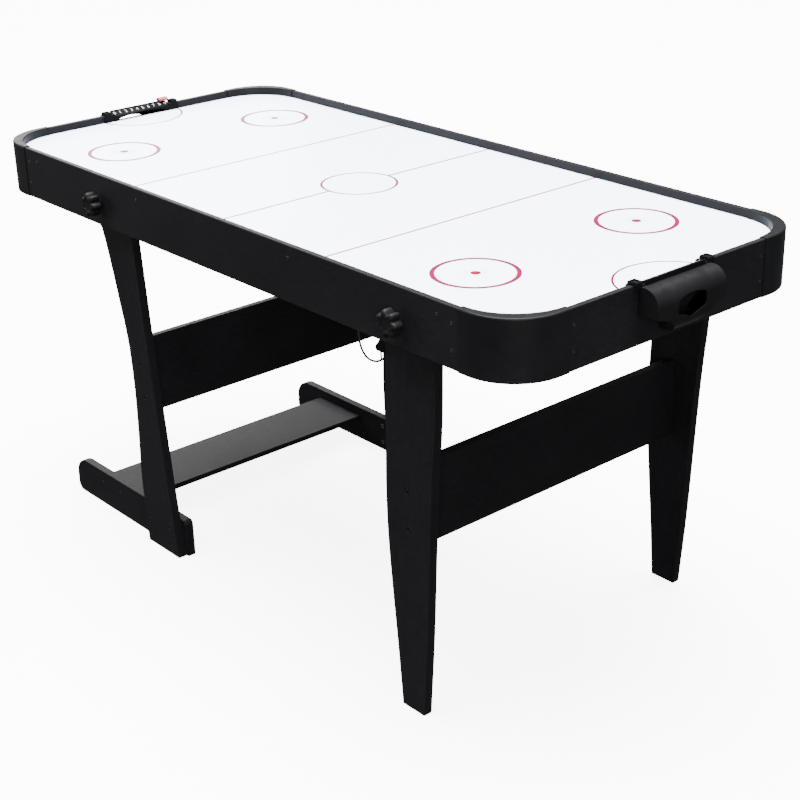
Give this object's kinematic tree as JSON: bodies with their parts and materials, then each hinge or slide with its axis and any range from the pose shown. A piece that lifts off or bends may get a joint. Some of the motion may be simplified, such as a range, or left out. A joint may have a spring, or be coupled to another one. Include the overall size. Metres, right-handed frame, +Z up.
{
  "type": "folding air hockey table",
  "caption": "Folding air hockey table with railed playfield, end goals, slide scorers, blower, and two leg frames that hinge and clamp so the top stands on end for storage.",
  "frame": {"origin": "on the floor, under the middle of the tabletop", "axes": "+X along the table towards the straight folding leg frame, +Y across to the far side, +Z up"},
  "size_m": [1.613, 0.756, 0.7948],
  "materials": {
    "panel_black": "satin black laminate on board",
    "corner_black": "fine-grained black moulding",
    "playfield_white": "smooth white coated board with red lines",
    "raw_board": "bare fibreboard",
    "moulding_black": "satin black moulding",
    "knob_black": "black star knob with steel stud",
    "counter_red": "glossy red plastic",
    "zinc_steel": "zinc-plated steel",
    "bolt_black": "blackened steel",
    "lead_black": "black flexible sheath"
  },
  "bodies": {
    "left_frame": {"left_leg_near": "panel_black", "left_leg_far": "panel_black", "left_cross_panel": "panel_black", "foot_board_near": "panel_black", "foot_board_far": "panel_black", "shelf_board": "panel_black", "left_leg_bolt_near_upper": "bolt_black", "left_leg_bolt_near_lower": "bolt_black", "left_leg_bolt_far_upper": "bolt_black", "left_leg_bolt_far_lower": "bolt_black"},
    "right_frame": {"right_leg_near": "panel_black", "right_leg_far": "panel_black", "right_cross_panel": "panel_black", "right_leg_bolt_near_upper": "bolt_black", "right_leg_bolt_near_lower": "bolt_black", "right_leg_bolt_far_upper": "bolt_black", "right_leg_bolt_far_lower": "bolt_black"},
    "left_knob_near": {"left_knob_near": "knob_black"},
    "left_knob_far": {"left_knob_far": "knob_black"},
    "right_knob_near": {"right_knob_near": "knob_black"},
    "right_knob_far": {"right_knob_far": "knob_black"},
    "fan_impeller": {"fan_impeller": "moulding_black"},
    "score_counter": {"score_counter_left": "counter_red"},
    "tabletop": {"blower_housing": "moulding_black", "fan_grille": "moulding_black", "fan_lead": "lead_black", "fan_motor": "zinc_steel", "far_side_apron": "panel_black", "goal_box_left": "moulding_black", "goal_box_right": "moulding_black", "lead_clip_inner": "moulding_black", "lead_clip_outer": "moulding_black", "lead_tie": "moulding_black", "left_clamp_nut_far": "zinc_steel", "left_clamp_nut_near": "zinc_steel", "left_end_apron": "panel_black", "left_pivot_bolt_far": "zinc_steel", "left_pivot_bolt_near": "zinc_steel", "near_side_apron": "panel_black", "playfield_panel": "playfield_white", "plenum_base": "raw_board", "plenum_batten_far": "raw_board", "plenum_batten_left": "raw_board", "plenum_batten_near": "raw_board", "plenum_batten_right": "raw_board", "power_inlet_box": "moulding_black", "rail_corner_far_left": "corner_black", "rail_corner_far_right": "corner_black", "rail_corner_near_left": "corner_black", "rail_corner_near_right": "corner_black", "right_clamp_nut_far": "zinc_steel", "right_clamp_nut_near": "zinc_steel", "right_end_apron": "panel_black", "right_pivot_bolt_far": "zinc_steel", "right_pivot_bolt_near": "zinc_steel", "scorer_left": "moulding_black", "scorer_right": "moulding_black"}
  },
  "joints": [
    {"name": "tabletop_tilt", "type": "hinge", "parent": "left_frame", "child": "tabletop", "pos_m": [-0.386, 0, 0.7095], "axis": [0, -1, 0], "range_deg": [0, 90]},
    {"name": "right_leg_fold", "type": "hinge", "parent": "tabletop", "child": "right_frame", "pos_m": [0.492, 0, 0.7095], "axis": [0, 1, 0], "range_deg": [0, 90]},
    {"name": "left_knob_near_turn", "type": "hinge", "parent": "tabletop", "child": "left_knob_near", "pos_m": [-0.364, 0, 0.727], "axis": [0, -1, 0], "range_deg": [0, 540]},
    {"name": "left_knob_far_turn", "type": "hinge", "parent": "tabletop", "child": "left_knob_far", "pos_m": [-0.364, 0, 0.727], "axis": [0, 1, 0], "range_deg": [0, 540]},
    {"name": "right_knob_near_turn", "type": "hinge", "parent": "tabletop", "child": "right_knob_near", "pos_m": [0.514, 0, 0.727], "axis": [0, -1, 0], "range_deg": [0, 540]},
    {"name": "right_knob_far_turn", "type": "hinge", "parent": "tabletop", "child": "right_knob_far", "pos_m": [0.514, 0, 0.727], "axis": [0, 1, 0], "range_deg": [0, 540]},
    {"name": "fan_spin", "type": "hinge", "parent": "tabletop", "child": "fan_impeller", "pos_m": [0, 0, 0.71], "axis": [0, 0, 1], "continuous": true},
    {"name": "score_counter_slide", "type": "slide", "parent": "tabletop", "child": "score_counter", "axis": [0, -1, 0], "range_m": [0, 0.118]}
  ]
}
